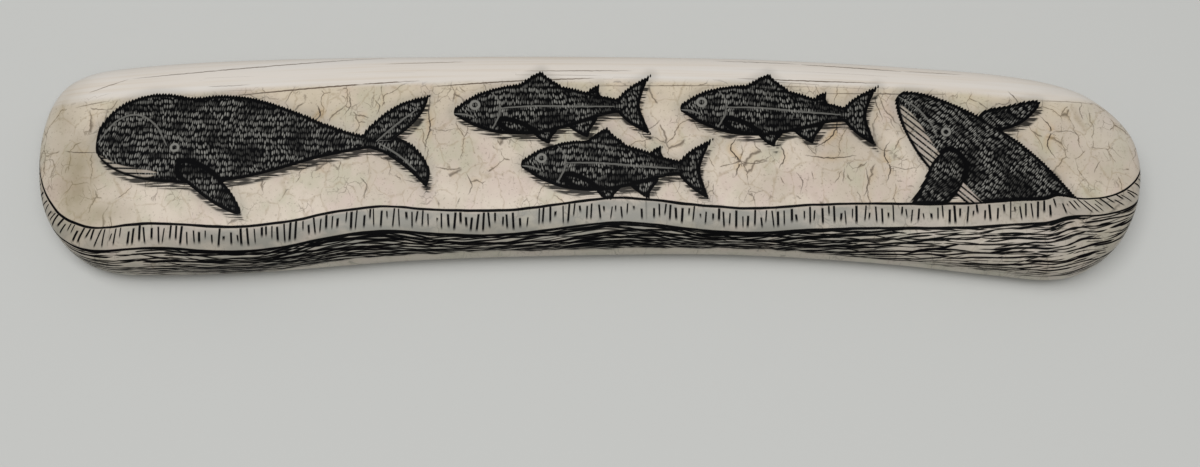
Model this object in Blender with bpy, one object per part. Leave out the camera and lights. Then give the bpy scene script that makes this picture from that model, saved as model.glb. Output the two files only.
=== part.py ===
"""A lengthwise slab of walrus tusk, ground flat underneath and rounded along its rim.

The slab is one solid. It bows gently along its length, and its two ends are rounded
unevenly, as they are when ground by hand. The frame has X along the tusk, Y across it and
Z up. The origin is under the middle of the slab, on the surface that it rests on.
"""

import math

import bmesh
import bpy
import numpy as np

MM = 0.001

# Driving dimensions, in millimetres
REST_HEIGHT = 0.0
RIM_HEIGHT = 5.4            # height of the widest line of the slab above its underside
THICKNESS_LEFT = 13.2       # the slab thins a little towards its right end
THICKNESS_RIGHT = 11.8
SPINE_REACH = 79.0          # the middle line, from which the rim is drawn, runs this far each way
CROWN_POWER = 3.2           # 2 would be a half ellipse across, and higher powers are flatter
UNDERSIDE_POWER = 3.6
UNDERSIDE_OVERRUN = 0.35    # how much of the rounded underside is ground away to a flat

# The slab's outline from above, counter-clockwise from the middle of its right end. Positive Y
# is the outer, convex edge of the tusk, and negative Y is the hollow edge.
OUTLINE = (
    (97.8, 0.8), (96.5, 5.6), (92.4, 10.5), (86.2, 14.3), (75.0, 16.9),
    (56.0, 18.65), (30.0, 20.05), (0.0, 20.6), (-32.0, 20.5), (-62.0, 19.8),
    (-84.0, 18.1), (-92.2, 15.8), (-96.1, 11.4), (-97.7, 4.5), (-97.5, -3.0),
    (-95.8, -9.6), (-92.0, -15.1), (-86.4, -18.7), (-78.0, -19.8), (-58.0, -19.2),
    (-30.0, -17.0), (0.0, -16.05), (25.0, -16.0), (50.0, -17.5), (70.0, -19.7),
    (80.5, -20.7), (86.8, -19.4), (92.5, -15.3), (96.0, -9.6), (97.6, -4.2),
)

# How finely the surface is divided
OUTLINE_STEPS = 16          # along each stretch between two outline points
SPINE_STEPS = 54
END_STEPS = 22              # spokes that fan round each end
CROWN_STEPS = 13            # from the middle line up and over to the rim
UNDERSIDE_STEPS = 7         # from the rim down to the flat
FLAT_REACH = 0.55           # the flat's innermost ring, as a share of the way out to the rim

IVORY_COLOUR = (0.66, 0.58, 0.46, 1.0)
IVORY_ROUGHNESS = 0.32


def clear_scene():
    for obj in list(bpy.data.objects):
        bpy.data.objects.remove(obj)


def smooth_closed_curve(points, steps):
    """Points along a closed curve that passes smoothly through every given point."""
    knots = np.array(points, float)
    before, after, beyond = np.roll(knots, 1, 0), np.roll(knots, -1, 0), np.roll(knots, -2, 0)
    curve = []
    for t in np.arange(steps) / steps:
        curve.append(
            knots
            + 0.5 * t * (after - before)
            + t**2 * (before - 2.5 * knots + 2 * after - 0.5 * beyond)
            + 0.5 * t**3 * (3 * (knots - after) + beyond - before)
        )
    return np.stack(curve, axis=1).reshape(-1, 2)


def reach_of(start, direction, outline):
    """How far a spoke from start runs before it meets the outline."""
    a, b = outline, np.roll(outline, -1, axis=0)
    edge, gap = b - a, a - start
    across = direction[0] * edge[:, 1] - direction[1] * edge[:, 0]
    along_spoke = (gap[:, 0] * edge[:, 1] - gap[:, 1] * edge[:, 0]) / across
    along_edge = (gap[:, 0] * direction[1] - gap[:, 1] * direction[0]) / across
    met = (along_edge >= 0) & (along_edge < 1) & (along_spoke > 0)
    return along_spoke[met].min()


def spine_point(x, outline):
    """The point of the slab's middle line at x, halfway between its two long edges."""
    start = np.array((x, 0.0))
    outer = reach_of(start, np.array((0.0, 1.0)), outline)
    inner = reach_of(start, np.array((0.0, -1.0)), outline)
    return np.array((x, (outer - inner) / 2))


def spokes_of(outline):
    """(start, direction, reach) of each spoke. They run left along the outer edge, fan round the
    left end, run right along the hollow edge and fan round the right end."""
    spine = [spine_point(x, outline) for x in np.linspace(-SPINE_REACH, SPINE_REACH, SPINE_STEPS + 1)]
    turns = [math.pi * k / END_STEPS for k in range(1, END_STEPS)]
    rays = [(point, np.array((0.0, 1.0))) for point in reversed(spine)]
    rays += [(spine[0], np.array((-math.sin(a), math.cos(a)))) for a in turns]
    rays += [(point, np.array((0.0, -1.0))) for point in spine]
    rays += [(spine[-1], np.array((math.sin(a), -math.cos(a)))) for a in turns]
    return [(start, direction, reach_of(start, direction, outline)) for start, direction in rays]


def crest_step(spoke):
    """The step of the middle line, counted from its left end, that a spoke starts from."""
    if spoke <= SPINE_STEPS:
        return SPINE_STEPS - spoke
    if spoke < SPINE_STEPS + END_STEPS:
        return 0
    return min(spoke - SPINE_STEPS - END_STEPS, SPINE_STEPS)


def thickness_at(x):
    share = 0.5 + x / (2 * OUTLINE[0][0])
    return THICKNESS_LEFT + (THICKNESS_RIGHT - THICKNESS_LEFT) * share


def crown_height(x, lift):
    """The height at a share lift of the way from the rim up to the middle line."""
    return RIM_HEIGHT + (thickness_at(x) - RIM_HEIGHT) * lift


def crown_profile():
    """(share of the way out, lift), from the rim in to just short of the middle line."""
    angles = [0.5 * math.pi * k / CROWN_STEPS for k in range(CROWN_STEPS)]
    power = 2 / CROWN_POWER
    return [(math.cos(a) ** power, math.sin(a) ** power) for a in angles]


def underside_profile():
    """(share of the way out, height) from under the rim in to the flat, which lies on the rest."""
    depth = RIM_HEIGHT - REST_HEIGHT + UNDERSIDE_OVERRUN
    at_flat = (RIM_HEIGHT - REST_HEIGHT) / depth
    last_angle = math.asin(at_flat ** (UNDERSIDE_POWER / 2))
    power = 2 / UNDERSIDE_POWER
    profile = []
    for k in range(1, UNDERSIDE_STEPS + 1):
        angle = last_angle * k / UNDERSIDE_STEPS
        profile.append((math.cos(angle) ** power, RIM_HEIGHT - depth * math.sin(angle) ** power))
    profile.append((FLAT_REACH, REST_HEIGHT))
    return profile


def add_point(mesh, x, y, z):
    return mesh.verts.new((x * MM, y * MM, z * MM))


def join_rings(mesh, outer, inner):
    for k in range(len(outer)):
        after = (k + 1) % len(outer)
        mesh.faces.new((outer[k], outer[after], inner[after], inner[k]))


def close_crown(mesh, ring, crest):
    """Joins the crown's innermost ring to the crest, one vertex for each step of the middle line."""
    for k in range(len(ring)):
        after = (k + 1) % len(ring)
        here, there = crest_step(k), crest_step(after)
        corners = [ring[k], ring[after], crest[there]]
        if here != there:
            corners.append(crest[here])
        mesh.faces.new(corners)


def slab_mesh():
    outline = smooth_closed_curve(OUTLINE, OUTLINE_STEPS)
    spokes = spokes_of(outline)
    mesh = bmesh.new()

    crown_rings = []
    for share, lift in crown_profile():
        points = [start + direction * reach * share for start, direction, reach in spokes]
        crown_rings.append([add_point(mesh, x, y, crown_height(x, lift)) for x, y in points])
    for outer, inner in zip(crown_rings, crown_rings[1:]):
        join_rings(mesh, outer, inner)

    middle_line = [start for start, _, _ in reversed(spokes[: SPINE_STEPS + 1])]
    crest = [add_point(mesh, x, y, thickness_at(x)) for x, y in middle_line]
    close_crown(mesh, crown_rings[-1], crest)

    above = crown_rings[0]
    for share, height in underside_profile():
        points = [start + direction * reach * share for start, direction, reach in spokes]
        ring = [add_point(mesh, x, y, height) for x, y in points]
        join_rings(mesh, ring, above)
        above = ring
    mesh.faces.new(list(reversed(above)))

    bmesh.ops.recalc_face_normals(mesh, faces=mesh.faces)
    data = bpy.data.meshes.new("tusk")
    mesh.to_mesh(data)
    mesh.free()
    return data


def ivory_material():
    material = bpy.data.materials.new("polished_ivory")
    material.use_nodes = True
    shader = material.node_tree.nodes["Principled BSDF"]
    shader.inputs["Base Color"].default_value = IVORY_COLOUR
    shader.inputs["Roughness"].default_value = IVORY_ROUGHNESS
    return material


def build_tusk():
    data = slab_mesh()
    data.shade_smooth()
    data.materials.append(ivory_material())
    tusk = bpy.data.objects.new("tusk", data)
    bpy.context.scene.collection.objects.link(tusk)


clear_scene()
build_tusk()
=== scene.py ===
import math

import bpy
import numpy as np
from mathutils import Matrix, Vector, noise


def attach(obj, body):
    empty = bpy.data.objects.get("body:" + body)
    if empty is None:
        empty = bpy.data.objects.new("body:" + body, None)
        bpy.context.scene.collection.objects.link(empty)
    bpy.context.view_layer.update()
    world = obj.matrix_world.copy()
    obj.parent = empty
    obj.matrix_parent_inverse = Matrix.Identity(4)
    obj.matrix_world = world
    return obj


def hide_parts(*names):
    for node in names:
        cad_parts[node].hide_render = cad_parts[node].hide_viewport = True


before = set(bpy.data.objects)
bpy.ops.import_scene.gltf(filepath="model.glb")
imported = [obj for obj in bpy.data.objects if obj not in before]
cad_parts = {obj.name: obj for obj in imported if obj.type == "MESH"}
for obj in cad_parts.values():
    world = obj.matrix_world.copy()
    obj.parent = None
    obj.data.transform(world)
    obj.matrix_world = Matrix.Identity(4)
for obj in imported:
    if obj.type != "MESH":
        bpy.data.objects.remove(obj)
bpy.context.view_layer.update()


# The slab
# A slab sawn lengthwise from a walrus tusk, ground flat underneath and rounded along its rim by
# hand, which keeps the tusk's slow bow. Its surface is laid out as rings that run round it, from
# the rim up to the middle line and from the rim down under it. Sizes here are in millimetres.

MM = 0.001
RIM_HEIGHT = 5.4
THICKNESS_LEFT = 13.2
THICKNESS_RIGHT = 11.8
SPINE_REACH = 79.0
CROWN_POWER = 3.2
UNDERSIDE_POWER = 3.6
UNDERSIDE_OVERRUN = 0.35
OUTLINE = (
    (97.8, 0.8), (96.5, 5.6), (92.4, 10.5), (86.2, 14.3), (75.0, 16.9),
    (56.0, 18.65), (30.0, 20.05), (0.0, 20.6), (-32.0, 20.5), (-62.0, 19.8),
    (-84.0, 18.1), (-92.2, 15.8), (-96.1, 11.4), (-97.7, 4.5), (-97.5, -3.0),
    (-95.8, -9.6), (-92.0, -15.1), (-86.4, -18.7), (-78.0, -19.8), (-58.0, -19.2),
    (-30.0, -17.0), (0.0, -16.05), (25.0, -16.0), (50.0, -17.5), (70.0, -19.7),
    (80.5, -20.7), (86.8, -19.4), (92.5, -15.3), (96.0, -9.6), (97.6, -4.2),
)
OUTLINE_STEPS = 40
SPINE_STEPS = 400
END_STEPS = 100
CROWN_STEPS = 56
UNDERSIDE_STEPS = 20
USUAL_HALF_WIDTH = 18.4     # the rings are spaced evenly on a section of this size
USUAL_CROWN = 7.1
GRINDING_DEPTH = 0.14       # how deep hand grinding left its low places
GRINDING_SPACING = 14.0
GRINDING_EDGE = 4.0         # the low places fade out this close to the rim


def smooth_closed_curve(knots, steps):
    """Points along a closed curve that passes smoothly through every given point."""
    knots = np.array(knots, float)
    before, after, beyond = np.roll(knots, 1, 0), np.roll(knots, -1, 0), np.roll(knots, -2, 0)
    curve = []
    for t in np.arange(steps) / steps:
        curve.append(
            knots
            + 0.5 * t * (after - before)
            + t**2 * (before - 2.5 * knots + 2 * after - 0.5 * beyond)
            + 0.5 * t**3 * (3 * (knots - after) + beyond - before)
        )
    return np.stack(curve, axis=1).reshape(-1, 2)


def reach_of(start, direction, outline):
    """How far a spoke from start runs before it meets the outline."""
    a, b = outline, np.roll(outline, -1, axis=0)
    edge, gap = b - a, a - start
    across = direction[0] * edge[:, 1] - direction[1] * edge[:, 0]
    along_spoke = (gap[:, 0] * edge[:, 1] - gap[:, 1] * edge[:, 0]) / across
    along_edge = (gap[:, 0] * direction[1] - gap[:, 1] * direction[0]) / across
    met = (along_edge >= 0) & (along_edge < 1) & (along_spoke > 0)
    return along_spoke[met].min()


def spokes_of(outline):
    """The starts, directions and reaches of the spokes. They run left along the outer edge, fan
    round the left end, run right along the hollow edge and fan round the right end."""
    outward, inward = np.array((0.0, 1.0)), np.array((0.0, -1.0))
    spine = []
    for x in np.linspace(-SPINE_REACH, SPINE_REACH, SPINE_STEPS + 1):
        middle = np.array((x, 0.0))
        gap = reach_of(middle, outward, outline) - reach_of(middle, inward, outline)
        spine.append(np.array((x, gap / 2)))
    turns = [math.pi * k / END_STEPS for k in range(1, END_STEPS)]
    rays = [(point, outward) for point in reversed(spine)]
    rays += [(spine[0], np.array((-math.sin(a), math.cos(a)))) for a in turns]
    rays += [(point, inward) for point in spine]
    rays += [(spine[-1], np.array((math.sin(a), -math.cos(a)))) for a in turns]
    reaches = np.array([reach_of(start, direction, outline) for start, direction in rays])
    return np.array([ray[0] for ray in rays]), np.array([ray[1] for ray in rays]), reaches


def rim_to_middle(power, depth, flat_at, count):
    """The shares of the way out and the depths of count + 1 evenly spaced rings, from the rim to
    the middle line. The section is rounded to the given depth, and is cut flat at flat_at."""
    angles = np.linspace(0, 0.5 * math.pi, 4000)
    out = USUAL_HALF_WIDTH * np.cos(angles) ** (2 / power)
    deep = np.minimum(depth * np.sin(angles) ** (2 / power), flat_at)
    run = np.concatenate(([0], np.cumsum(np.hypot(np.diff(out), np.diff(deep)))))
    even = np.linspace(0, run[-1], count + 1)
    share = np.interp(even, run, out) / USUAL_HALF_WIDTH
    share[-1] = 0
    return share, np.interp(even, run, deep)


def thickness_at(x):
    share = 0.5 + x / (2 * OUTLINE[0][0])
    return THICKNESS_LEFT + (THICKNESS_RIGHT - THICKNESS_LEFT) * share


def ground_away(point):
    """How far hand grinding took the surface down at a point, from 0 to GRINDING_DEPTH."""
    broad = noise.noise(Vector(point) / GRINDING_SPACING)
    return GRINDING_DEPTH * min(1.0, max(0.0, 0.5 - 0.8 * broad))


def rings_of(shares, heights_at):
    """Every ring's points, as an array of rings by spokes by three."""
    rings = []
    for k, share in enumerate(shares):
        flat = starts + directions * (reaches * share)[:, None]
        rings.append(np.column_stack((flat, heights_at(flat[:, 0], k))))
    return np.array(rings)


def from_rim(rings):
    """How far each ring's points lie from the rim, over the surface."""
    steps = np.linalg.norm(np.diff(rings, axis=0), axis=2)
    return np.vstack((np.zeros(spoke_count), np.cumsum(steps, axis=0)))


starts, directions, reaches = spokes_of(smooth_closed_curve(OUTLINE, OUTLINE_STEPS))
spoke_count = len(starts)
crown_shares, crown_lifts = rim_to_middle(CROWN_POWER, USUAL_CROWN, USUAL_CROWN, CROWN_STEPS)
under_shares, under_depths = rim_to_middle(
    UNDERSIDE_POWER, RIM_HEIGHT + UNDERSIDE_OVERRUN, RIM_HEIGHT, UNDERSIDE_STEPS
)
crown = rings_of(
    crown_shares,
    lambda x, k: RIM_HEIGHT + (thickness_at(x) - RIM_HEIGHT) * crown_lifts[k] / USUAL_CROWN,
)
underside = rings_of(under_shares, lambda x, k: np.full(len(x), RIM_HEIGHT - under_depths[k]))
crown_inward = from_rim(crown)
underside_inward = from_rim(underside)

# The spokes of both sides meet in the middle lines, so each point there is kept once.
middle_step = np.concatenate((
    np.arange(SPINE_STEPS, -1, -1),
    np.zeros(END_STEPS - 1, int),
    np.arange(SPINE_STEPS + 1),
    np.full(END_STEPS - 1, SPINE_STEPS),
))
spoke_of_step = np.arange(SPINE_STEPS, -1, -1)


def gathered(on_crown, on_underside):
    """Values on the crown's and the underside's rings, in the order of the mesh's vertices."""
    width = on_crown.shape[2:]
    return np.concatenate((
        on_crown[:-1].reshape(-1, *width),
        on_underside[1:-1].reshape(-1, *width),
        on_crown[-1][spoke_of_step],
        on_underside[-1][spoke_of_step],
    ))


def faces_between(rows):
    """The faces that join rows of vertex numbers. Where the rows meet the end of a middle line, a
    face has three corners."""
    faces = []
    for outer, inner in zip(rows, rows[1:]):
        corners = np.stack((outer, np.roll(outer, -1), np.roll(inner, -1), inner), axis=1)
        faces += [(a, b, c) if c == d else (a, b, c, d) for a, b, c, d in corners.tolist()]
    return faces


ring_rows = np.arange((CROWN_STEPS + UNDERSIDE_STEPS - 1) * spoke_count).reshape(-1, spoke_count)
crest_row = ring_rows.size + middle_step
keel_row = crest_row + SPINE_STEPS + 1
crown_faces = faces_between([*ring_rows[:CROWN_STEPS], crest_row])
underside_faces = faces_between([ring_rows[0], *ring_rows[CROWN_STEPS:], keel_row])
underside_faces = [face[::-1] for face in underside_faces]

points = gathered(crown, underside)
inward = gathered(crown_inward, -underside_inward)
engraved_side = inward > 0
fade = np.clip(inward[engraved_side] / GRINDING_EDGE, 0, 1)
ground_away_by = np.array([ground_away(point) for point in points[engraved_side].tolist()])
points[engraved_side, 2] -= ground_away_by * fade

tusk_mesh = bpy.data.meshes.new("walrus_tusk")
tusk_mesh.from_pydata((points * MM).tolist(), [], crown_faces + underside_faces)
tusk_mesh.shade_smooth()
tusk = bpy.data.objects.new("walrus_tusk", tusk_mesh)
bpy.context.scene.collection.objects.link(tusk)


def keep_on_surface(name, values):
    """Keeps a number for each vertex under a name, by which the material reads it."""
    layer = tusk_mesh.attributes.new(name, "FLOAT", "POINT")
    layer.data.foreach_set("value", np.asarray(values, np.float32))


def run_round(line):
    """How far each of a line's points, one for each spoke, lies round the slab from the middle
    of the hollow edge, with the right as positive."""
    hollow_middle = SPINE_STEPS + END_STEPS + SPINE_STEPS // 2
    order = (hollow_middle + np.arange(spoke_count) - spoke_count // 2) % spoke_count
    steps = np.linalg.norm(np.diff(line[order], axis=0), axis=1)
    run = np.empty(spoke_count)
    run[order] = np.concatenate(([0], np.cumsum(steps)))
    return run - run[hollow_middle]


def on_every_ring(values):
    """One value for each spoke, repeated for each vertex along it."""
    return gathered(
        np.broadcast_to(values, crown_inward.shape), np.broadcast_to(values, underside_inward.shape)
    )


rim_run = on_every_ring(run_round(crown[0]))
keep_on_surface("inward", inward)
keep_on_surface("rim_run", rim_run)

# The flat map of the surface. The engraved side is unrolled out to the rim and lies in two
# halves, one above the other, with the underside drawn smaller above them.
SHEET = 132.0
HALF_SHEET = (104.5, 54.0)
SHEET_MARGIN = 0.5
UNDERSIDE_SCALE = 0.45
UNDERSIDE_MIDDLE = (52.5, 119.5)


def lay_out_map():
    crown_flat = starts + directions * (crown_inward[-1] - crown_inward)[..., None]
    under_flat = starts + directions * (underside_inward[-1] - underside_inward)[..., None]
    rim_from_below = np.broadcast_to(under_flat[0], crown_flat.shape)
    faces = crown_faces + underside_faces
    corner_counts = np.array([len(face) for face in faces])
    corners = np.concatenate([np.array(face) for face in faces])
    face_of_corner = np.repeat(np.arange(len(faces)), corner_counts)
    face_x = np.bincount(face_of_corner, points[corners, 0]) / corner_counts
    right_half = (face_x > 0)[face_of_corner, None]
    below = (face_of_corner >= len(crown_faces))[:, None]
    above_place = gathered(crown_flat, under_flat)[corners]
    below_place = gathered(rim_from_below, under_flat)[corners]
    left_corner = (HALF_SHEET[0], 0.5 * HALF_SHEET[1])
    right_corner = (SHEET_MARGIN, 1.5 * HALF_SHEET[1])
    sheet = np.where(right_half, above_place + right_corner, above_place + left_corner)
    sheet = np.where(below, below_place * UNDERSIDE_SCALE + UNDERSIDE_MIDDLE, sheet) / SHEET
    flat_map = tusk_mesh.uv_layers.new(name="OFBake")
    flat_map.uv.foreach_set("vector", sheet.astype(np.float32).ravel())


lay_out_map()


# The tooth's growth
# A tusk grows in layers. Along its outer edge lies a smooth, pale band of dentine with thin
# growth lines, and inside it lies older, yellower dentine that has dried into fine cracks. Both
# run right through the slab, and its left end is stained brown.

GROWTH_BOW = 0.00052        # the layers bow with the tusk, by this much for each square of x
BAND_EDGE = 13.6            # the band's inner edge in the middle of the slab
GROWTH_LINES = (
    (((-89, 2.0), (-82, 4.3)), 0.45),
    (((-82, 4.3), (-46, 6.0), (-36, 6.5)), 0.6),
    (((-37, 4.8), (-22, 4.95)), 0.4),
    (((-68, 1.4), (-60, 1.3)), 0.35),
    (((-91, -0.7), (-85, -0.1)), 0.45),
    (((-64, -0.8), (-46, 0.1), (-30, 0.8)), 1.0),
    (((-28, -0.5), (-14, 0.3), (1, 0.9)), 1.0),
    (((-12, 2.5), (8, 2.6)), 0.5),
    (((0, -0.7), (26, -0.2)), 0.55),
    (((24, -0.3), (40, 0.1)), 0.5),
    (((26, 1.3), (52, 1.5)), 0.7),
    (((22, 5.4), (38, 5.25)), 0.45),
    (((37, 5.2), (57, 4.6)), 0.6),
    (((41, -1.2), (52, -0.7), (64, 0.1)), 0.7),
    (((56, 4.7), (67, 4.8)), 0.4),
    (((78, 0.0), (90, 0.9)), 0.4),
)
CRACKS = (
    (((-48.2, 8.9), (-47.4, 7.2), (-48.4, 5.6), (-47.8, 3.0)), 1.0),
    (((-37.9, 10.0), (-37.0, 8.6), (-37.5, 7.0)), 0.6),
    (((-33.6, 6.6), (-36.0, 5.2), (-35.6, 3.2), (-35.0, 1.5)), 0.7),
    (((-28.0, 11.5), (-28.4, 8.0), (-28.0, 4.6), (-28.6, 2.2), (-28.8, -0.4)), 0.75),
    (((-28.0, 4.4), (-25.6, 4.0), (-23.0, 4.6)), 0.4),
    (((-20.0, 6.2), (-18.6, 7.4), (-19.4, 8.4)), 0.5),
    (((-14.6, 11.0), (-13.8, 9.4), (-14.2, 6.0)), 0.9),
    (((20.1, 11.0), (20.0, 9.2), (20.9, 7.4), (21.5, 5.5)), 1.0),
    (((29.4, 9.2), (28.0, 8.2), (27.4, 6.6), (28.2, 4.6)), 1.0),
    (((25.0, 6.0), (26.6, 5.6)), 0.5),
    (((32.0, 9.5), (31.5, 7.6), (32.0, 5.4)), 0.7),
    (((37.0, 10.5), (38.2, 8.8), (36.4, 7.0), (35.9, 3.0)), 0.9),
    (((40.7, 11.0), (43.0, 8.0), (43.6, 5.2), (42.0, 2.6), (39.5, 1.0)), 1.0),
    (((43.8, 4.6), (49.0, 4.6)), 0.5),
    (((37.5, -0.4), (42.0, -0.9), (47.0, -0.5)), 0.7),
    (((50.6, 11.5), (50.8, 9.4), (51.8, 6.5)), 0.6),
    (((48.2, -2.4), (48.6, -5.2), (47.8, -8.2)), 0.6),
    (((44.6, -2.6), (44.2, -5.6)), 0.5),
    (((36.0, -3.4), (37.2, -5.4), (36.6, -7.6)), 0.5),
    (((87.4, 6.6), (87.0, 8.6), (87.8, 10.4)), 0.5),
    (((-85.0, 7.4), (-85.4, 5.2)), 0.7),
    (((-87.2, 3.4), (-84.6, 4.2)), 0.6),
    (((-92.0, 0.3), (-88.4, -0.3), (-84.0, 0.0)), 0.6),
    (((-29.6, -4.4), (-28.2, -6.6), (-28.8, -8.0)), 0.7),
    (((-32.6, -5.0), (-29.4, -5.6), (-26.8, -4.6)), 0.5),
    (((-57.0, 7.8), (-56.4, 5.4)), 0.45),
    (((5.0, -3.6), (7.4, -4.2), (9.8, -3.8)), 0.35),
    (((-43.0, 11.4), (-42.2, 9.0), (-43.4, 6.8)), 0.55),
    (((-40.0, -4.6), (-38.6, -6.4), (-39.4, -8.4)), 0.6),
    (((-21.6, -3.8), (-20.4, -6.2), (-21.2, -8.0)), 0.6),
    (((7.6, 9.6), (8.8, 7.2), (8.2, 4.8), (9.4, 2.8)), 0.85),
    (((12.6, 6.4), (11.0, 4.8), (8.9, 4.2)), 0.5),
    (((26.0, 3.2), (24.8, 0.8), (26.2, -1.6), (25.4, -4.6)), 0.9),
    (((25.6, -1.4), (28.6, -2.0), (31.6, -1.4)), 0.5),
    (((33.4, 1.8), (34.2, -0.8), (33.0, -3.0)), 0.7),
    (((52.8, 2.4), (51.6, 0.0), (52.6, -2.8), (51.8, -5.6)), 0.8),
    (((52.2, -2.2), (55.4, -3.0), (57.6, -2.4)), 0.45),
    (((74.4, 12.4), (76.0, 10.2), (75.4, 8.4)), 0.6),
    (((79.6, 7.4), (81.4, 4.6), (80.4, 1.6), (81.8, -1.0)), 0.8),
    (((81.2, 4.0), (84.2, 4.4), (86.6, 3.4)), 0.45),
    (((89.6, -1.0), (88.2, -3.6)), 0.5),
)
STAINS = (
    (-89.5, -6.0, 4.5, 9.0, 1.0),
    (-93.0, 6.0, 4.0, 9.0, 0.5),
    (-86.0, -11.5, 7.0, 2.5, 0.8),
    (-78.0, 3.0, 5.0, 8.0, 0.25),
    (-63.0, -9.0, 9.0, 3.0, 0.3),
    (-31.0, 6.0, 4.0, 5.0, 0.3),
    (-48.5, 6.0, 2.5, 4.0, 0.45),
    (19.5, 10.0, 2.0, 2.5, 0.35),
    (43.5, 4.5, 3.0, 6.0, 0.4),
    (46.0, 9.0, 4.5, 3.0, 0.3),
    (84.0, 2.0, 13.0, 12.0, 0.25),
    (93.0, 0.0, 6.0, 9.0, 0.25),
    (93.0, -10.0, 5.0, 8.0, 0.30),
)
TRACE_STEPS = 6             # points along each stretch of a line
TRACE_REACH = 2.4           # a line's distances are kept up to this far from it
GROWTH_LINE_WIDTH = 0.28
CRACK_WIDTH = 0.24
RIM_IVORY = (0.730, 0.675, 0.610, 1)
CHALK_IVORY = (0.735, 0.705, 0.665, 1)
CREAM_IVORY = (0.655, 0.570, 0.470, 1)
CORE_IVORY = (0.570, 0.492, 0.400, 1)
PINK_IVORY = (0.615, 0.495, 0.435, 1)
GREEN_IVORY = (0.500, 0.475, 0.350, 1)
OCHRE_IVORY = (0.645, 0.555, 0.400, 1)
CRAZE_BROWN = (0.330, 0.250, 0.150, 1)
GROWTH_LINE_BROWN = (0.150, 0.110, 0.080, 1)
CRACK_BROWN = (0.065, 0.045, 0.030, 1)
NET_BROWN = (0.140, 0.105, 0.075, 1)
HALO_BROWN = (0.500, 0.350, 0.170, 1)
STAIN_BROWN = (0.270, 0.225, 0.130, 1)


def smooth_line(knots, steps):
    """Points along an open curve that passes smoothly through every given point."""
    knots = np.array(knots, float)
    padded = np.vstack((2 * knots[0] - knots[1], knots, 2 * knots[-1] - knots[-2]))
    curve = []
    for a, b, c, d in zip(padded, padded[1:], padded[2:], padded[3:]):
        t = (np.arange(steps) / steps)[:, None]
        curve.append(
            b
            + 0.5 * t * (c - a)
            + t**2 * (a - 2.5 * b + 2 * c - 0.5 * d)
            + 0.5 * t**3 * (3 * (b - c) + d - a)
        )
    return np.vstack((*curve, knots[-1:]))


def beside_line(line, places):
    """For each place, its distance from a line, how far it lies to the line's left, and how far
    along the line its nearest point is, from 0 to 1."""
    a, edge = line[:-1], np.diff(line, axis=0)
    lengths = np.linalg.norm(edge, axis=1)
    gap = places[:, None] - a
    along = np.clip((gap * edge).sum(2) / lengths**2, 0, 1)
    off = gap - edge * along[..., None]
    distance = np.linalg.norm(off, axis=2)
    nearest = distance.argmin(axis=1)
    row = np.arange(len(places))
    left = (edge[nearest, 0] * off[row, nearest, 1] - edge[nearest, 1] * off[row, nearest, 0])
    start = np.concatenate(([0], np.cumsum(lengths)))
    run = (start[nearest] + along[row, nearest] * lengths[nearest]) / start[-1]
    return distance[row, nearest], left / lengths[nearest], run


class Traces:
    """Thin lines kept on the surface as two numbers: how far to one side of the nearest line a
    point lies, and how strong the line is there. The material draws them sharper than the mesh."""

    def __init__(self, reach):
        self.reach = reach
        self.distance = np.full(len(points), reach)
        self.across = np.full(len(points), reach)
        self.strength = np.zeros(len(points))

    def add(self, line, strength):
        low, high = line.min(axis=0) - self.reach, line.max(axis=0) + self.reach
        near = engraved_side & np.all((points[:, :2] > low) & (points[:, :2] < high), axis=1)
        near = np.flatnonzero(near)
        distance, across, run = beside_line(line, points[near, :2])
        nearer = distance < self.distance[near]
        chosen = near[nearer]
        self.distance[chosen] = distance[nearer]
        self.across[chosen] = across[nearer]
        fade = np.clip(2 * (1 - distance[nearer] / self.reach), 0, 1)
        taper = np.sin(math.pi * np.clip(run[nearer], 0, 1)) ** 0.5
        self.strength[chosen] = strength * taper * fade

    def keep(self, name):
        keep_on_surface(name + "_across", self.across)
        keep_on_surface(name + "_strength", self.strength)


growth_lines = Traces(TRACE_REACH)
for knots, strength in GROWTH_LINES:
    on_slab = [(x, growth + BAND_EDGE - GROWTH_BOW * x**2) for x, growth in knots]
    growth_lines.add(smooth_line(on_slab, TRACE_STEPS), strength)
growth_lines.keep("growth")

cracks = Traces(TRACE_REACH)
for knots, strength in CRACKS:
    cracks.add(smooth_line(knots, TRACE_STEPS), strength)
cracks.keep("crack")

stain = np.zeros(len(points))
for x, y, half_length, half_width, strength in STAINS:
    squares = ((points[:, 0] - x) / half_length) ** 2 + ((points[:, 1] - y) / half_width) ** 2
    stain = np.maximum(stain, strength * np.exp(-squares))
keep_on_surface("stain", stain)


def plug(slot, value):
    """Gives an input a field to follow, or a plain value."""
    if isinstance(value, Field):
        slot.id_data.links.new(value.socket, slot)
    else:
        slot.default_value = value


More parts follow.
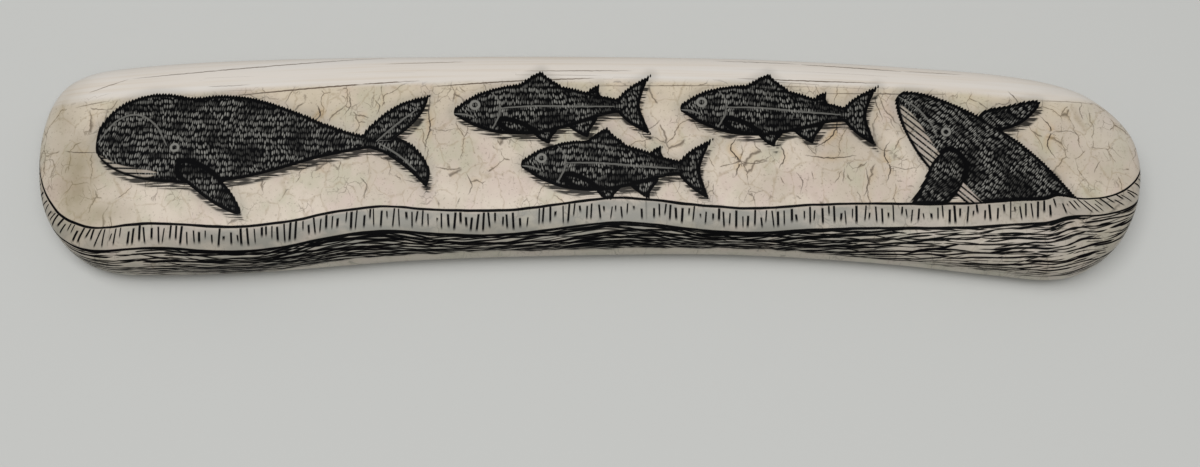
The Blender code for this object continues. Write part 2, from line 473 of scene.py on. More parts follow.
class Field:
    """A number or colour that changes over the surface: a node's output. Arithmetic on it adds
    Math nodes to the same tree."""

    def __init__(self, socket):
        self.socket = socket

    def math(self, operation, *values):
        node = self.socket.id_data.nodes.new("ShaderNodeMath")
        node.operation = operation
        for slot, value in zip(node.inputs, values):
            plug(slot, value)
        return Field(node.outputs["Value"])

    def __add__(self, other):
        return self.math("ADD", self, other)

    def __sub__(self, other):
        return self.math("SUBTRACT", self, other)

    def __rsub__(self, other):
        return self.math("SUBTRACT", other, self)

    def __mul__(self, other):
        return self.math("MULTIPLY", self, other)

    def __truediv__(self, other):
        return self.math("DIVIDE", self, other)

    def least(self, other):
        return self.math("MINIMUM", self, other)

    def most(self, other):
        return self.math("MAXIMUM", self, other)

    def size(self):
        return self.math("ABSOLUTE", self)

    def floor(self):
        return self.math("FLOOR", self)

    def root(self):
        return self.math("SQRT", self)

    def rise(self, start, end):
        """0 up to start and 1 from end on, with a smooth climb between them."""
        node = self.socket.id_data.nodes.new("ShaderNodeMapRange")
        node.interpolation_type = "SMOOTHSTEP"
        plug(node.inputs["Value"], self)
        plug(node.inputs["From Min"], start)
        plug(node.inputs["From Max"], end)
        return Field(node.outputs["Result"])

    def fall(self, start, end):
        return 1.0 - self.rise(start, end)

    def parts(self):
        node = self.socket.id_data.nodes.new("ShaderNodeSeparateXYZ")
        plug(node.inputs[0], self)
        return [Field(output) for output in node.outputs]


def joined(x, y, z=0.0):
    """A place made of a field x, a field y and a field or number z."""
    node = x.socket.id_data.nodes.new("ShaderNodeCombineXYZ")
    for slot, value in zip(node.inputs, (x, y, z)):
        plug(slot, value)
    return Field(node.outputs[0])


def stretched(place, sizes, seed):
    """A place divided by sizes along each axis, and moved by the seed to its own patch of noise."""
    node = place.socket.id_data.nodes.new("ShaderNodeVectorMath")
    node.operation = "MULTIPLY_ADD"
    plug(node.inputs[0], place)
    node.inputs[1].default_value = [1 / size for size in sizes]
    node.inputs[2].default_value = (7.3 * seed, 3.1 * seed, 5.7 * seed)
    return Field(node.outputs[0])


def noise_at(place, sizes, seed, detail=2.0, rough=0.5, flat=False):
    """Smooth noise from 0 to 1, with lumps of the given sizes in millimetres. Flat noise leaves
    out the third axis."""
    node = place.socket.id_data.nodes.new("ShaderNodeTexNoise")
    node.noise_dimensions = "2D" if flat else "3D"
    plug(node.inputs["Vector"], stretched(place, sizes, seed))
    node.inputs["Scale"].default_value = 1.0
    node.inputs["Detail"].default_value = detail
    node.inputs["Roughness"].default_value = rough
    return Field(node.outputs[0])


def cells_at(place, sizes, seed, feature, even=0.0, flat=False):
    """A Voronoi pattern of cells of the given sizes. Its outputs are a dictionary of fields."""
    node = place.socket.id_data.nodes.new("ShaderNodeTexVoronoi")
    node.voronoi_dimensions = "2D" if flat else "3D"
    node.feature = feature
    plug(node.inputs["Vector"], stretched(place, sizes, seed))
    node.inputs["Scale"].default_value = 1.0
    node.inputs["Randomness"].default_value = 1.0 - even
    return {output.name: Field(output) for output in node.outputs}


def chances(cell, seed):
    """Three random numbers from 0 to 1 for each whole number of a field."""
    node = cell.socket.id_data.nodes.new("ShaderNodeTexWhiteNoise")
    node.noise_dimensions = "1D"
    plug(node.inputs["W"], cell + seed * 19.7)
    return Field(node.outputs["Color"]).parts()


def blended(under, over, amount):
    """One colour laid over another by an amount from 0 to 1."""
    node = amount.socket.id_data.nodes.new("ShaderNodeMix")
    node.data_type = "RGBA"
    plug(node.inputs["Factor"], amount)
    plug(node.inputs[6], under)
    plug(node.inputs[7], over)
    return Field(node.outputs[2])


def effect(inputs, outputs):
    """Makes a shader node group out of a function that works from fields to fields."""
    def build(fill):
        group = bpy.data.node_groups.new(fill.__name__, "ShaderNodeTree")
        for name, kind in inputs.items():
            group.interface.new_socket(name, in_out="INPUT", socket_type="NodeSocket" + kind)
        for name, kind in outputs.items():
            group.interface.new_socket(name, in_out="OUTPUT", socket_type="NodeSocket" + kind)
        entry = group.nodes.new("NodeGroupInput")
        results = fill(*[Field(entry.outputs[name]) for name in inputs])
        leave = group.nodes.new("NodeGroupOutput")
        for name, result in zip(outputs, results):
            plug(leave.inputs[name], result)

        def place(**values):
            tree = next(v for v in values.values() if isinstance(v, Field)).socket.id_data
            node = tree.nodes.new("ShaderNodeGroup")
            node.node_tree = group
            for name, value in values.items():
                plug(node.inputs[name], value)
            return [Field(node.outputs[name]) for name in outputs]

        return place
    return build


@effect({"Across": "Float", "Strength": "Float", "Width": "Float"}, {"Line": "Float"})
def fine_line(across, strength, width):
    """A line as wide as asked where it is strong, and pointed where its strength ends."""
    half = width * strength.root() * 0.5
    line = across.size().fall(half - 0.05, half + 0.05)
    return [line * strength.rise(0.0, 0.25)]


@effect({"Place": "Vector", "Growth": "Float"}, {"Colour": "Color", "Dark": "Float"})
def layered_dentine(place, growth):
    """The ivory itself: the pale outer band, the yellower dentine inside it, the fine streaks
    along both, and the net of drying cracks in the inner one."""
    x, y, z = place.parts()
    wander = noise_at(place, (16, 3, 6), 1) - 0.5
    depth = growth + wander * 1.6
    in_band = depth.rise(-0.7, 0.7)

    streaks = noise_at(joined(x, growth, z), (34, 0.55, 3), 2, detail=3.0)
    broad = noise_at(joined(x, growth, z), (48, 2.2, 6), 3)
    band = blended(RIM_IVORY, CREAM_IVORY, streaks.rise(0.46, 0.72) * 0.55)
    band = blended(band, CHALK_IVORY, broad.rise(0.45, 0.66) * 0.6)

    mottle = noise_at(place, (5.5, 7.5, 8), 4, detail=3.0)
    patch = noise_at(place, (12, 9, 9), 5, detail=2.0)
    core = blended(CORE_IVORY, CREAM_IVORY, patch.rise(0.38, 0.62))
    core = blended(core, PINK_IVORY, mottle.rise(0.50, 0.66) * 0.60)
    core = blended(core, GREEN_IVORY, mottle.fall(0.32, 0.48) * 0.60)
    core = blended(core, OCHRE_IVORY, growth.rise(-10.0, -1.0) * patch.rise(0.30, 0.55) * 0.5)
    tips = x.rise(76.0, 97.0) * 0.50 + x.fall(-97.0, -80.0) * 0.40
    core = blended(core, RIM_IVORY, tips * growth.rise(-18.0, -2.0))
    grain = noise_at(place, (1.0, 1.3, 2), 14, detail=2.0)
    core = blended(core, STAIN_BROWN, grain.rise(0.50, 0.75) * 0.14)

    bend = noise_at(place, (3.2, 3.2, 6), 6, detail=4.0) - 0.5
    bend_too = noise_at(place, (3.6, 3.6, 6), 7, detail=4.0) - 0.5
    bent = joined(x + bend * 3.0, y + bend_too * 3.6, z * 0.3)
    crazing = cells_at(bent, (4.4, 6.2, 9), 13, "DISTANCE_TO_EDGE")["Distance"].fall(0.0, 0.045)
    core = blended(core, CRAZE_BROWN, crazing * grain.rise(0.30, 0.55) * 0.38)
    plates = cells_at(bent, (5.2, 9.0, 12), 8, "DISTANCE_TO_EDGE")["Distance"]
    flakes = cells_at(bent, (1.7, 2.2, 5), 9, "DISTANCE_TO_EDGE")["Distance"]
    shown = noise_at(place, (3.0, 5.0, 6), 10)
    shown_here = growth.rise(-24.0, -8.0) * 0.07 + shown
    crack = plates.fall(0.0, 0.022) * shown_here.rise(0.49, 0.58)
    flaked = noise_at(place, (6.0, 4.5, 8), 11).rise(0.55, 0.62)
    flake = flakes.fall(0.0, 0.045) * flaked
    net = crack.most(flake * 0.7)
    halo = plates.fall(0.0, 0.12) * shown_here.rise(0.54, 0.68)
    core = blended(core, HALO_BROWN, halo * 0.22)
    core = blended(core, NET_BROWN, net * 0.85)
    speck = noise_at(place, (0.42, 0.42, 0.6), 12, detail=1.0)
    core = blended(core, NET_BROWN, speck.rise(0.62, 0.72) * 0.30)
    return [blended(core, band, in_band), net * (1.0 - in_band)]


# The engraved border and the sea
# A ladder border of two long lines joined by short ticks, a common pattern of such engraving,
# runs along the hollow edge and over the rim at both ends. The sea below it is cut in long, low
# strokes. Every cut is rubbed full of black ink, which leaves a grey film around it. Over the
# border and the sea that grey is partly painted shade of the near slope as well.

BORDER_INSET = 6.3          # from the rim in to the border's lower line, in the middle
BORDER_BAND = 4.3           # from the lower line to the upper line
WAVE_LENGTH = 43.0
WAVE_HEIGHT = 0.85
WAVE_SHIFT = 6.0
BORDER_BENDS = (            # how far each shifts the line in, and where it starts and ends
    (5.2, 44, 78),
    (-16.8, 84, 122),
    (-30.0, 112, 150),
    (-4.0, -70, -106),
    (-9.0, -98, -130),
    (-30.0, -114, -150),
)
SEA_FLOOR_INSET = -4.2      # at the left end, where the lowest strokes lie under the rim
SEA_FLOOR_BENDS = ((5.8, -70, -38), (-1.4, 30, 60), (-3.8, 84, 104))
TICK_PITCH = 1.05
BORDER_LINE_WIDTH = 0.42
SEA_ROWS = (                # each layer's pitch, slope and share that is cut, and its seed
    (0.72, 0.00, 0.55, 1.0),
    (0.95, 0.05, 0.53, 5.0),
    (0.86, -0.05, 0.53, 9.0),
    (1.25, 0.09, 0.49, 13.0),
    (1.05, -0.10, 0.46, 17.0),
)
INK_FILM_AND_SHADE_GREY = (0.265, 0.256, 0.222, 1)
INK_BLACK = (0.0028, 0.0028, 0.0032, 1)


def shifted_by(bends, run):
    """How far the bends shift a line in all. Each climbs smoothly from its start to its end."""
    total = np.zeros(len(run))
    for shift, start, end in bends:
        t = np.clip((run - start) / (end - start), 0, 1)
        total += shift * t * t * (3 - 2 * t)
    return total


def border_inset(run):
    """How far in from the rim the border's lower line lies. It rises towards the right end, and
    runs down over the rim at both ends."""
    wave = WAVE_HEIGHT * np.sin(2 * math.pi * (run + WAVE_SHIFT) / WAVE_LENGTH)
    return BORDER_INSET + wave + shifted_by(BORDER_BENDS, run)


def sea_floor(run):
    """How far in from the rim the lowest strokes lie. At both ends they reach under the rim."""
    return SEA_FLOOR_INSET + shifted_by(SEA_FLOOR_BENDS, run)


def points_at(depth):
    """Each spoke's point at a depth in from the rim, over the surface."""
    depths = np.vstack((-underside_inward[::-1], crown_inward[1:]))
    places = np.concatenate((underside[::-1], crown[1:]))
    found = np.empty((spoke_count, 3))
    for k in range(spoke_count):
        for axis in range(3):
            found[k, axis] = np.interp(depth[k], depths[:, k], places[:, k, axis])
    return found


border_height = inward - border_inset(rim_run)
spoke_inset = border_inset(run_round(crown[0]))
border_run = on_every_ring(run_round(points_at(spoke_inset + 0.5 * BORDER_BAND)))
keep_on_surface("border_height", border_height)
keep_on_surface("border_run", border_run)
keep_on_surface("above_sea_floor", inward - sea_floor(rim_run))


@effect({"Run": "Float", "Height": "Float"}, {"Ink": "Float"})
def ladder_border(run, height):
    """Two long lines, and ticks between them that differ in length, lean and spacing."""
    wobble = noise_at(joined(run, height), (11, 40, 1), 20) - 0.5
    press = noise_at(joined(run, height), (5, 2, 1), 21, detail=3.0)
    half = press * 0.22 + 0.5 * BORDER_LINE_WIDTH - 0.09
    from_lower = (height + wobble * 0.5).size()
    from_upper = (height + wobble * 0.8 - BORDER_BAND).size()
    lines = from_lower.least(from_upper).fall(half - 0.05, half + 0.06)

    cell = (run / TICK_PITCH).floor()
    place, lean, weight = chances(cell, 1)
    low, high, kept = chances(cell, 2)
    middle = (cell + 0.5 + (place - 0.5) * 0.5) * TICK_PITCH
    off = run - middle - (lean - 0.45) * 0.26 * (height - 0.5 * BORDER_BAND)
    bottom = low * low * 1.7 + 0.35
    top = BORDER_BAND - 0.1 - high * high * 1.5
    length = height.rise(bottom, bottom + 0.9) * height.fall(top - 0.25, top + 0.05)
    tick_half = weight * 0.11 + 0.11
    tick = off.size().fall(tick_half - 0.05, tick_half + 0.06) * length * kept.rise(0.02, 0.05)
    return [lines.most(tick)]


@effect(
    {"Run": "Float", "Height": "Float", "Pitch": "Float", "Slope": "Float", "Cover": "Float",
     "Seed": "Float"},
    {"Ink": "Float"},
)
def sea_strokes(run, height, pitch, slope, cover, seed):
    """Rows of long, thin strokes that swell, taper and wander up and down. Cover is the share of
    each row that is cut."""
    swell = noise_at(joined(run, height, seed), (17, 15, 1), 30, detail=2.0) - 0.5
    row_place = (height + run * slope + swell * 4.0) / pitch
    row = row_place.floor()
    shift, lift, press = chances(row, seed)
    along = joined(run + shift * 90, row * 3.7, seed)
    push = noise_at(along, (7.0, 1, 1), 31, detail=2.0, rough=0.5) - (1.0 - cover)
    half = (push * 1.6).least(press * 0.15 + 0.07)
    off = (row_place - row - 0.5 + (lift - 0.5) * 0.5).size() * pitch
    return [off.fall(half - 0.06, half + 0.05) * half.rise(0.0, 0.04)]


# The engraved animals
# A bowhead whale, three salmon and a whale that breaches, of the engraver's common stock. Each
# is filled with rows of short cuts, between which flecks of ivory show, and has a heavy outline.
# Low strokes under it give it a shadow. The outlines are in millimetres, from the snout back.

BOWHEAD = dict(
    body=[[
        (0.0, 2.6), (0.9, 6.4), (4.0, 10.2), (9.0, 12.5), (13.6, 12.6), (17.4, 12.1), (22.0, 12.7),
        (28.0, 12.3), (35.0, 10.2), (42.0, 7.4), (47.6, 5.6), (51.5, 5.0), (52.5, 4.0),
        (51.0, 3.0), (46.5, 2.0), (40.5, 0.4), (34.0, -1.9), (26.5, -4.0), (18.0, -5.0),
        (10.0, -4.6), (4.2, -2.9), (1.0, -0.4),
    ], [
        (49.0, 4.9), (51.6, 8.6), (55.8, 12.0), (60.6, 13.6), (60.6, 13.6), (60.0, 10.6),
        (57.6, 7.2), (54.4, 4.6), (51.0, 3.4),
    ], [
        (49.4, 3.4), (53.4, 1.8), (57.8, -1.2), (61.4, -4.6), (61.4, -4.6), (61.8, -1.2),
        (59.6, 2.4), (56.0, 5.0), (52.0, 5.2),
    ]],
    over=[[
        (16.4, -0.6), (20.2, -1.6), (24.6, -5.0), (27.6, -9.4), (27.2, -10.6), (23.2, -9.0),
        (18.6, -5.8), (15.6, -2.8),
    ]],
    pale=[[
        (1.0, 0.2), (5.0, -1.6), (10.0, -2.4), (12.4, -3.2), (9.6, -4.1), (5.0, -2.9), (1.8, -0.9),
    ]],
    eye=(14.6, 2.0),
    lines=[
        [(0.3, 2.4), (3.0, 6.6), (6.6, 8.4), (10.4, 6.6), (13.2, 2.2)],
        [(51.6, 4.2), (55.0, 7.6), (58.6, 10.8)],
        [(52.0, 4.0), (56.0, 1.6), (59.4, -1.4)],
    ],
)
SALMON = dict(
    body=[[
        (0.0, -0.2), (1.4, 1.3), (4.2, 3.0), (8.4, 4.2), (13.0, 4.5), (18.0, 3.8), (23.0, 2.3),
        (26.6, 1.35), (28.4, 1.3), (28.4, -1.3), (26.4, -1.2), (23.0, -2.0), (18.0, -3.6),
        (13.0, -4.5), (8.0, -4.3), (4.0, -3.1), (1.2, -1.5),
    ], [
        (11.2, 4.0), (12.6, 5.8), (14.4, 6.9), (14.4, 6.9), (15.6, 5.6), (17.6, 3.6),
    ], [
        (22.0, 2.2), (22.6, 3.3), (23.8, 3.9), (23.8, 3.9), (23.8, 2.8), (24.2, 1.6),
    ], [
        (26.8, 1.0), (29.0, 3.4), (32.2, 5.4), (32.2, 5.4), (31.2, 2.8), (30.5, 0.0),
        (31.2, -2.8), (32.2, -5.4), (32.2, -5.4), (29.0, -3.4), (26.8, -1.0),
    ], [
        (18.8, -3.0), (20.2, -4.6), (22.0, -5.5), (22.0, -5.5), (22.2, -4.2), (23.4, -1.8),
    ], [
        (13.0, -4.0), (14.0, -5.5), (15.6, -6.4), (15.6, -6.4), (15.9, -5.2), (16.8, -3.8),
    ]],
    over=[[
        (7.4, -1.8), (9.6, -1.9), (12.0, -3.0), (13.0, -4.2), (10.6, -4.2), (8.2, -3.2),
    ]],
    pale=[],
    eye=(3.5, 1.0),
    lines=[
        [(6.2, 3.3), (7.4, 1.6), (7.5, -0.6), (6.4, -3.2)],
        [(0.2, -0.5), (2.0, -0.7), (3.4, -1.2)],
        [(7.6, 0.3), (13.0, 0.5), (20.0, 0.2), (26.5, 0.0)],
    ],
)
BREACHING_WHALE = dict(
    body=[[
        (0.0, 0.6), (1.8, 2.8), (6.0, 4.8), (12.0, 6.4), (19.0, 7.4), (27.0, 7.4), (35.0, 6.2),
        (44.0, 4.6), (54.0, 3.0), (54.0, -3.0), (44.0, -4.8), (35.0, -6.2), (27.0, -7.4),
        (19.0, -7.8), (12.0, -7.0), (6.0, -4.8), (1.6, -2.0),
    ], [
        (14.0, 6.2), (17.6, 6.8), (20.0, 10.6), (20.4, 15.4), (19.2, 16.4), (16.2, 12.2),
        (13.6, 8.4),
    ]],
    over=[[
        (13.6, -1.6), (17.4, -2.0), (19.6, -6.2), (19.4, -12.0), (16.8, -17.4), (15.2, -17.2),
        (14.4, -11.0), (12.8, -5.6),
    ]],
    pale=[[
        (1.6, -0.8), (5.0, -0.9), (10.0, -2.6), (15.0, -4.2), (22.0, -5.4), (28.0, -6.0),
        (27.0, -7.2), (19.0, -7.5), (12.0, -6.6), (6.0, -4.4), (2.4, -2.0),
    ]],
    eye=(11.0, 0.4),
    lines=[
        [(0.2, 0.2), (4.0, 0.6), (8.0, -0.2), (10.4, -1.4)],
    ],
)
ANIMALS = (                 # each with its snout's place, its turn in degrees and its size
    (BOWHEAD, (-86.5, -0.8), -1.5, 0.95),
    (SALMON, (-24.0, 7.8), 2, 1.08),
    (SALMON, (-12.0, -2.0), -2, 1.03),
    (SALMON, (16.0, 8.8), -3, 1.08),
    (BREACHING_WHALE, (54.5, 11.0), -42, 0.98),
)
FIGURE_STEPS = 8
FIGURE_REACH = 3.0          # outside a figure, its distances are kept up to this far
FIGURE_LINE_REACH = 1.6
EYE_SIZE = 0.85
PUPIL_SIZE = 0.42
MARK_WIDTH = 0.34           # of the pale lines drawn on a figure
SHADOW_SHIFT = (0.5, -1.25)
SHADOW_GAP = 0.6            # a figure's shadow stops this far above the border
TOOTH_PITCH = 0.52          # of the spikes along a figure's upper edge
TOOTH_HEIGHT = 0.85
PLEAT_PITCH = 0.9           # of the folds in a pale throat
FLECK_GREY = (0.260, 0.255, 0.230, 1)


def depth_inside(outline, places):
    """How deep places lie inside a closed outline. Outside it the depth is negative."""
    a, b = outline, np.roll(outline, -1, axis=0)
    edge = b - a
    gap = places[:, None] - a
    along = (gap * edge).sum(2) / np.maximum((edge**2).sum(1), 1e-9)
    off = gap - edge * np.clip(along, 0, 1)[..., None]
    distance = np.sqrt((off**2).sum(2).min(axis=1))
    x, y = places[:, :1], places[:, 1:]
    straddles = (a[:, 1] > y) != (b[:, 1] > y)
    rise = np.where(edge[:, 1] == 0, 1, edge[:, 1])
    crossed = straddles & (x < a[:, 0] + edge[:, 0] * (y - a[:, 1]) / rise)
    return np.where(crossed.sum(axis=1) % 2 == 1, distance, -distance)


def deepest(outlines, places):
    depths = [depth_inside(smooth_closed_curve(knots, FIGURE_STEPS), places) for knots in outlines]
    return np.max(depths, axis=0)


figure_depth = np.full(len(points), -FIGURE_REACH)
over_depth = figure_depth.copy()
pale_depth = figure_depth.copy()
shadow_depth = figure_depth.copy()
eye_distance = np.full(len(points), FIGURE_REACH)
figure_run = np.zeros(len(points))
figure_lift = np.zeros(len(points))
figure_lines = Traces(FIGURE_LINE_REACH)
above_border = border_height - BORDER_BAND

for animal, snout, turn, size in ANIMALS:
    angle = math.radians(turn)
    turned = np.array(((math.cos(angle), math.sin(angle)), (-math.sin(angle), math.cos(angle))))
    drawn = np.vstack([np.array(knots) for knots in animal["body"] + animal["over"]])
    low, high = drawn.min(axis=0) - FIGURE_REACH / size, drawn.max(axis=0) + FIGURE_REACH / size
    own = (points[:, :2] - snout) @ turned.T / size
    near = np.flatnonzero(engraved_side & np.all((own > low) & (own < high), axis=1))
    own = own[near]
    body = size * deepest(animal["body"], own)
    over = size * deepest(animal["over"], own)
    whole = np.minimum(np.maximum(body, over), above_border[near])
    over = np.minimum(over, above_border[near])
    closer = whole > figure_depth[near]
    figure_run[near[closer]] = own[closer, 0] * size
    figure_lift[near[closer]] = own[closer, 1] * size
    figure_depth[near] = np.maximum(figure_depth[near], whole)
    over_depth[near] = np.maximum(over_depth[near], over)
    if animal["pale"]:
        pale = np.minimum(size * deepest(animal["pale"], own), above_border[near])
        pale_depth[near] = np.maximum(pale_depth[near], pale)
    from_eye = np.linalg.norm(own - animal["eye"], axis=1)
    eye_distance[near] = np.minimum(eye_distance[near], from_eye)
    shift = turned @ np.array(SHADOW_SHIFT) / size
    shadow = size * deepest(animal["body"] + animal["over"], own - shift)
    shadow = np.minimum(shadow, above_border[near] - SHADOW_GAP)
    shadow_depth[near] = np.maximum(shadow_depth[near], shadow)
    for knots in animal["lines"]:
        placed = np.array(knots) * size @ turned + snout
        figure_lines.add(smooth_line(placed, TRACE_STEPS), 1.0)

keep_on_surface("figure_depth", figure_depth)
keep_on_surface("over_depth", over_depth)
keep_on_surface("pale_depth", pale_depth)
keep_on_surface("shadow_depth", shadow_depth)
keep_on_surface("eye_distance", eye_distance)
keep_on_surface("figure_run", figure_run)
keep_on_surface("figure_lift", figure_lift)
figure_lines.keep("figure_line")


@effect({"Run": "Float", "Lift": "Float"}, {"Fleck": "Float", "Spike": "Float"})
def graver_cuts(run, lift):
    """The flecks of ivory left between rows of short cuts, and the spikes that the cuts give a
    figure's edge."""
    place = joined(run, lift)
    bow = noise_at(place, (9, 9, 1), 40, flat=True) - 0.5
    curved = joined(run + bow * 2.4, lift + bow * 1.2)
    cells = cells_at(curved, (0.36, 1.15, 1), 41, "F1", even=0.45, flat=True)
    chance = cells["Color"].parts()
    fleck = cells["Distance"].fall(0.18, 0.46)
    bright = chance[0] * 0.7 + 0.3
    broad = noise_at(place, (4.5, 3.0, 1), 42, detail=2.0, flat=True)
    patch = broad.rise(0.34, 0.60) * 0.85 + 0.15
    tooth_place = run / TOOTH_PITCH
    tooth = tooth_place.floor()
    tall, lean, _ = chances(tooth, 3)
    slant = (tooth_place - tooth - 0.5 + (lean - 0.5) * 0.3).size()
    return [fleck * bright * patch, (0.5 - slant) * (tall * 0.5 + 0.5)]


# The polished ivory
# The whole slab was sanded and buffed to a soft gloss once it was engraved. The ink lies a touch
# below the surface, where the polish doesn't reach, and is duller than the ivory round it.

POLISH = 0.30
IVORY_ROUGHNESS = 0.28
INK_ROUGHNESS = 0.45
CRACK_ROUGHNESS = 0.55
IVORY_IOR = 1.54
UNPOLISHED_SHEEN = 0.02     # what is left of the gloss where the polish doesn't reach
INK_DEPTH = 0.045           # depths and heights of the fine relief, in millimetres
CRACK_DEPTH = 0.05
GROWTH_LINE_DEPTH = 0.02
SCRATCH_HEIGHT = 0.006
# painted shade: the grey laid on the rounded edge of the hollow side
SHADED_SIDE_GREY = (0.400, 0.395, 0.335, 1)

ivory = bpy.data.materials.new("polished_ivory")
ivory.use_nodes = True
nodes, links = ivory.node_tree.nodes, ivory.node_tree.links
shader = nodes["Principled BSDF"]


def kept(name):
    """The number kept on the surface under a name."""
    node = nodes.new("ShaderNodeAttribute")
    node.attribute_name = name
    return Field(node.outputs["Fac"])


def in_millimetres():
    scaled = nodes.new("ShaderNodeVectorMath")
    scaled.operation = "SCALE"
    links.new(nodes.new("ShaderNodeTexCoord").outputs["Object"], scaled.inputs[0])
    scaled.inputs["Scale"].default_value = 1 / MM
    return Field(scaled.outputs[0])


place = in_millimetres()
x, y, z = place.parts()
growth = y + x * x * GROWTH_BOW + (z - THICKNESS_LEFT) * 0.25 - BAND_EDGE
surface, net = layered_dentine(Place=place, Growth=growth)

jag = noise_at(place, (0.9, 0.9, 2), 50, detail=2.0) - 0.5
growth_across = kept("growth_across") + jag * 0.25
growth_strength = kept("growth_strength")
growth_line, = fine_line(
    Across=growth_across, Strength=growth_strength, Width=GROWTH_LINE_WIDTH
)
worn = noise_at(place, (5, 1, 3), 51, detail=2.0).rise(0.20, 0.40)
shown = growth_strength.rise(-0.3, 0.9)
surface = blended(surface, GROWTH_LINE_BROWN, growth_line * worn * shown)

crack_across = kept("crack_across") + jag * 0.55
crack_strength = kept("crack_strength")
crack, = fine_line(Across=crack_across, Strength=crack_strength, Width=CRACK_WIDTH)
halo = crack_across.size().fall(0.1, 1.3) * crack_strength.rise(0.45, 0.95)
stained = kept("stain") * (noise_at(place, (4, 6, 6), 52, detail=3.0) * 1.5 + 0.2)
surface = blended(surface, STAIN_BROWN, stained.least(1.0) * 0.72)
surface = blended(surface, HALO_BROWN, halo * 0.5)
surface = blended(surface, CRACK_BROWN, crack * crack_strength.rise(-0.2, 0.9))

depth_in = kept("inward")
# Painted shade: the rounded edge on the hollow side faces down into shade, so it is painted greyer.
shaded_side = depth_in.fall(-1.5, 5.0) * y.fall(-4.0, 8.0)
surface = blended(surface, SHADED_SIDE_GREY, shaded_side * 0.55)

height = kept("border_height")
run = kept("rim_run")
below_border = height.fall(-0.1, 0.1)
ladder, = ladder_border(Run=kept("border_run"), Height=height)
above_floor = kept("above_sea_floor") + (noise_at(joined(run, run), (6, 6, 1), 53) - 0.5) * 2.0
in_sea = below_border * above_floor.rise(-0.3, 0.3)
middle = run.rise(-84.0, -56.0) * run.fall(30.0, 66.0) * depth_in.rise(-2.5, 1.0)
crowding = middle * 0.20 - depth_in.fall(-4.0, -0.5) * 0.08
sea = in_sea * 0.0          # before its first row of strokes
for pitch, slope, cover, seed in SEA_ROWS:
    strokes, = sea_strokes(
        Run=run, Height=height, Pitch=pitch, Slope=slope, Cover=crowding + cover, Seed=seed
    )
    sea = sea.most(strokes * in_sea)
ladder = ladder * (height - BORDER_BAND).fall(0.6, 0.9) * depth_in.rise(-5.0, -3.5)

# The grey over the border and the sea is partly the ink's film and partly painted shade of the near
# slope.
film_and_shade = (height - BORDER_BAND).fall(-0.8, 0.4) * above_floor.rise(-1.5, 0.5)
film_and_shade = film_and_shade * (middle * 0.32 + 0.45) * (depth_in.rise(-0.5, 3.5) * 0.7 + 0.3)
film_and_shade = film_and_shade * (noise_at(place, (3.5, 2.0, 3), 54, detail=3.0) * 1.7 + 0.30)
surface = blended(surface, INK_FILM_AND_SHADE_GREY, film_and_shade.least(1.0))

fleck, spike = graver_cuts(Run=kept("figure_run"), Lift=kept("figure_lift"))
figure = kept("figure_depth")
over = kept("over_depth")
shade_depth = kept("shadow_depth")
upper_edge = (figure - shade_depth).rise(-0.5, 0.9)
in_figure = (figure + spike * upper_edge * TOOTH_HEIGHT).rise(-0.05, 0.07)
edge = figure.least(over.size() + 0.15)
outline_ink = (edge + upper_edge * 0.12).fall(0.48, 0.90)
pleat_place = kept("figure_lift") / PLEAT_PITCH
pleat = (pleat_place - pleat_place.floor() - 0.5).size().rise(0.10, 0.26)
pale = kept("pale_depth").rise(0.0, 0.3) * over.fall(-0.1, 0.1) * pleat
mark_across = kept("figure_line_across") + jag * 0.2
mark, = fine_line(
    Across=mark_across, Strength=kept("figure_line_strength"), Width=MARK_WIDTH
)
eye = kept("eye_distance")
eye_ring = eye.fall(EYE_SIZE, EYE_SIZE + 0.12) * eye.rise(PUPIL_SIZE, PUPIL_SIZE + 0.13)
bared = (fleck * (1.0 - outline_ink)).most(pale * (fleck * 0.5 + 0.5))
bared = bared.most(eye_ring * 0.8).most(mark * 0.48 * over.fall(-0.1, 0.1))
figure_colour = blended(INK_BLACK, FLECK_GREY, bared)
figure_colour = blended(figure_colour, surface, pale * 0.55)

stroke = noise_at(place, (3.2, 0.26, 2), 55, detail=1.0)
thinned = (shade_depth * 0.08 + stroke).rise(0.44, 0.54)
shadow = shade_depth.rise(-0.2, 0.3) * thinned

surface = blended(surface, INK_FILM_AND_SHADE_GREY, figure.rise(-2.2, 0.0) * 0.35)
surface = blended(surface, INK_BLACK, shadow * 0.92)
surface = blended(surface, INK_BLACK, sea)
surface = blended(surface, INK_BLACK, ladder)
surface = blended(surface, figure_colour, in_figure)
plug(shader.inputs["Base Color"], surface)

ink = (in_figure * (1.0 - bared)).most(sea).most(ladder).most(shadow * 0.7)
opened = (crack * crack_strength + net * 0.5) * (1.0 - in_figure)
unevenly_buffed = noise_at(place, (7, 5, 5), 56, detail=3.0) * 0.10 - 0.05
rough = unevenly_buffed + IVORY_ROUGHNESS + ink * (INK_ROUGHNESS - IVORY_ROUGHNESS)
plug(shader.inputs["Roughness"], rough + opened * (CRACK_ROUGHNESS - IVORY_ROUGHNESS))

scratch = noise_at(place, (3.5, 0.25, 1), 57, detail=2.0)
relief = scratch * SCRATCH_HEIGHT - ink * INK_DEPTH
relief = relief - opened * CRACK_DEPTH - growth_line * GROWTH_LINE_DEPTH
bump = nodes.new("ShaderNodeBump")
bump.inputs["Distance"].default_value = MM
plug(bump.inputs["Height"], relief)
links.new(bump.outputs["Normal"], shader.inputs["Normal"])
plug(shader.inputs["Coat Weight"], (1.0 - ink.least(1.0)) * POLISH)
shader.inputs["Coat Roughness"].default_value = IVORY_ROUGHNESS
shader.inputs["Coat IOR"].default_value = IVORY_IOR
shader.inputs["IOR"].default_value = IVORY_IOR
shader.inputs["Specular IOR Level"].default_value = UNPOLISHED_SHEEN

tusk_mesh.materials.append(ivory)
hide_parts("tusk")
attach(tusk, "root")


# The surface, the light and the camera
# A plain pale surface, an evenly lit room with a large soft light above the slab, and a camera
# that looks down on it at the photograph's angle.

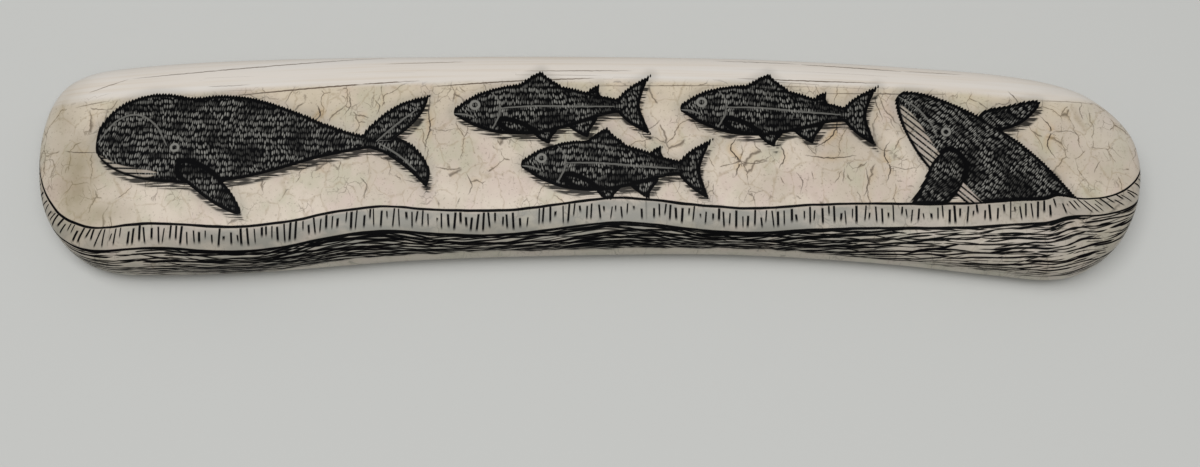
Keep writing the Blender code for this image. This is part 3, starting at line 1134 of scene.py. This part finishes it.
FLOOR_SIZE = 3.0
FLOOR_DROP = 0.05 * MM      # keeps the floor clear of the slab's flat underside
FLOOR_GREY = (0.568, 0.573, 0.554, 1)
FLOOR_ROUGHNESS = 0.7
ROOM_LIGHT = 0.31
TOP_LIGHT_PLACE = Vector((-0.05, -0.08, 0.90))
TOP_LIGHT_SIZE = (0.9, 0.45)
TOP_LIGHT_ENERGY = 6.2
CAMERA_FRAME = 36.0         # the width of the film and the lens's length, in millimetres
CAMERA_LENS = 53.43
CAMERA_DISTANCE = 0.320
CAMERA_TILT = math.radians(19.2)
CAMERA_TARGET = Vector((1.85 * MM, -10.7 * MM, 0.0))

floor_mesh = bpy.data.meshes.new("floor")
corner = 0.5 * FLOOR_SIZE
floor_mesh.from_pydata(
    [(-corner, -corner, 0), (corner, -corner, 0), (corner, corner, 0), (-corner, corner, 0)],
    [], [(0, 1, 2, 3)],
)
floor = bpy.data.objects.new("floor", floor_mesh)
floor.location.z = -FLOOR_DROP
bpy.context.scene.collection.objects.link(floor)
floor_paint = bpy.data.materials.new("pale_floor")
floor_paint.use_nodes = True
floor_shader = floor_paint.node_tree.nodes["Principled BSDF"]
floor_shader.inputs["Base Color"].default_value = FLOOR_GREY
floor_shader.inputs["Roughness"].default_value = FLOOR_ROUGHNESS
floor_mesh.materials.append(floor_paint)

world = bpy.data.worlds.new("soft_room")
world.use_nodes = True
backdrop = world.node_tree.nodes["Background"]
backdrop.inputs["Color"].default_value = (1.0, 1.0, 1.0, 1)
backdrop.inputs["Strength"].default_value = ROOM_LIGHT
bpy.context.scene.world = world

lamp = bpy.data.lights.new("top_light", "AREA")
lamp.shape = "RECTANGLE"
lamp.size, lamp.size_y = TOP_LIGHT_SIZE
lamp.energy = TOP_LIGHT_ENERGY
top_light = bpy.data.objects.new("top_light", lamp)
top_light.location = TOP_LIGHT_PLACE
top_light.rotation_euler = (-TOP_LIGHT_PLACE).to_track_quat("-Z", "Y").to_euler()
bpy.context.scene.collection.objects.link(top_light)

camera_data = bpy.data.cameras.new("camera")
camera_data.sensor_width = CAMERA_FRAME
camera_data.lens = CAMERA_LENS
camera_data.clip_start = 0.01
camera = bpy.data.objects.new("camera", camera_data)
toward_camera = Vector((0, -math.sin(CAMERA_TILT), math.cos(CAMERA_TILT)))
camera.location = CAMERA_TARGET + toward_camera * CAMERA_DISTANCE
camera.rotation_euler = (CAMERA_TILT, 0, 0)
bpy.context.scene.collection.objects.link(camera)
bpy.context.scene.camera = camera
bpy.context.scene.view_settings.view_transform = "Standard"
